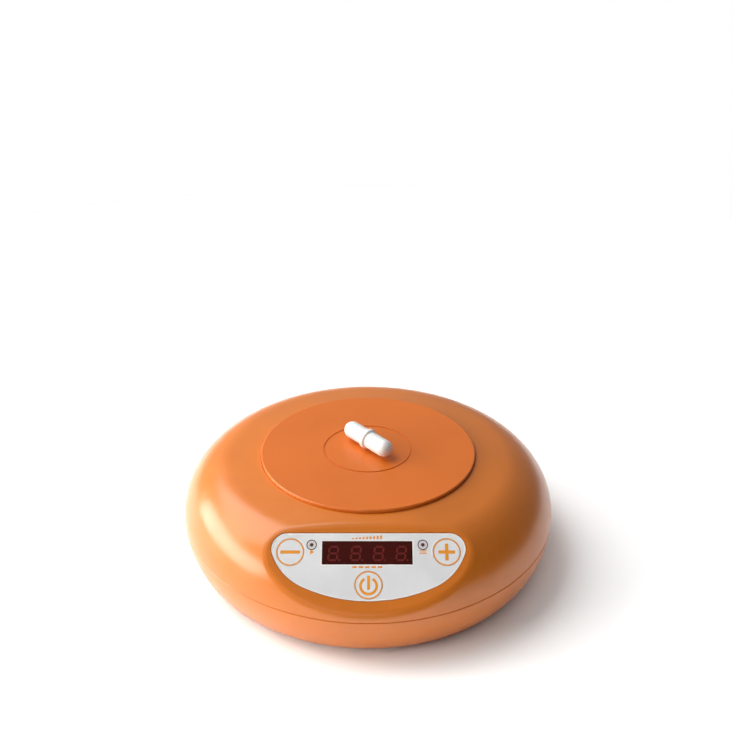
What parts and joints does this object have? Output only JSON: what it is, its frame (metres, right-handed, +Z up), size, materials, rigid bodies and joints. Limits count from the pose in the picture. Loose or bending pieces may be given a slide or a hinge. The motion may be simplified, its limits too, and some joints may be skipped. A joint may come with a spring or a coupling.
{
  "type": "magnetic stirrer",
  "caption": "Low round bench-top magnetic stirrer with a raised work plate, a sloping key and display panel, a magnet drive inside and a loose stir bar.",
  "frame": {"origin": "centre of the round footprint, on the table", "axes": "+Z up, the control panel faces -Y, the power inlet is at +Y, +X to the right of the panel"},
  "size_m": [0.174, 0.174, 0.0599],
  "materials": {
    "shell_plastic": "satin moulded ABS with a fine texture",
    "plate_plastic": "satin moulded plastic",
    "panel_film": "smooth printed polyester film",
    "display_window": "polished dark red filter",
    "display_module": "moulded",
    "light_pipe": "polished",
    "lamp": "moulded",
    "circuit_board": "solder resist",
    "black_plastic": "moulded",
    "steel": "plated",
    "brass": "turned",
    "copper_wire": "enamelled winding",
    "core_iron": "laminated",
    "magnet": "nickel plated",
    "carrier_plastic": "moulded",
    "rubber": "moulded",
    "label": "blank silver film",
    "ptfe": "moulded fluoropolymer",
    "lead": "insulated wire"
  },
  "bodies": {
    "housing": {"top_shell": "shell_plastic", "bottom_shell": "shell_plastic", "shell_seal": "rubber", "work_plate": "plate_plastic", "panel_film": "panel_film", "display_window": "display_window", "display_module": "display_module", "switch_minus": "black_plastic", "switch_plus": "black_plastic", "switch_power": "black_plastic", "light_pipe_run": "light_pipe", "lamp_run": "lamp", "light_pipe_settings": "light_pipe", "lamp_settings": "lamp", "control_board": "circuit_board", "board_screw_left": "steel", "board_screw_right": "steel", "controller_chip": "black_plastic", "motor_header": "black_plastic", "power_header": "black_plastic", "housing_screw_1": "steel", "housing_screw_2": "steel", "housing_screw_3": "steel", "housing_screw_4": "steel", "rubber_foot_1": "rubber", "rubber_foot_2": "rubber", "rubber_foot_3": "rubber", "rubber_foot_4": "rubber", "rating_label": "label", "inlet_housing": "black_plastic", "inlet_pin": "brass", "motor_bracket": "steel", "bracket_screw_1": "steel", "bracket_screw_2": "steel", "bracket_screw_3": "steel", "bearing_tube": "brass", "bearing_lower": "steel", "bearing_upper": "steel", "drive_board": "circuit_board", "position_sensor": "black_plastic", "stator_core": "core_iron", "stator_coil_1": "copper_wire", "stator_coil_2": "copper_wire", "stator_coil_3": "copper_wire", "stator_coil_4": "copper_wire", "power_lead": "lead", "motor_lead": "lead"},
    "rotor": {"rotor_shaft": "steel", "ring_magnet": "core_iron", "rotor_cup": "steel", "rotor_hub": "brass", "magnet_yoke": "steel", "magnet_carrier": "carrier_plastic", "drive_magnet_north": "magnet", "drive_magnet_south": "magnet"},
    "stir_bar": {"stir_bar_jacket": "ptfe", "stir_bar_core": "magnet"},
    "key_minus_cap": {"key_minus": "panel_film"},
    "key_plus_cap": {"key_plus": "panel_film"},
    "key_power_cap": {"key_power": "panel_film"}
  },
  "joints": [
    {"name": "rotor_spin", "type": "hinge", "parent": "housing", "child": "rotor", "pos_m": [0, 0, 0.03], "axis": [0, 0, 1], "continuous": true},
    {"name": "stir_bar_spin", "type": "hinge", "parent": "housing", "child": "stir_bar", "pos_m": [0, 0, 0.0551], "axis": [0, 0, 1], "continuous": true},
    {"name": "key_minus_press", "type": "slide", "parent": "housing", "child": "key_minus_cap", "axis": [0, 0.6018, -0.7986], "range_m": [0, 0.0003], "stiffness_N_per_m": 500},
    {"name": "key_plus_press", "type": "slide", "parent": "housing", "child": "key_plus_cap", "axis": [0, 0.6018, -0.7986], "range_m": [0, 0.0003], "stiffness_N_per_m": 500},
    {"name": "key_power_press", "type": "slide", "parent": "housing", "child": "key_power_cap", "axis": [0, 0.6018, -0.7986], "range_m": [0, 0.0003], "stiffness_N_per_m": 500}
  ],
  "couplings": [
    {"joint": "stir_bar_spin", "follows": "rotor_spin", "ratio": 1}
  ]
}
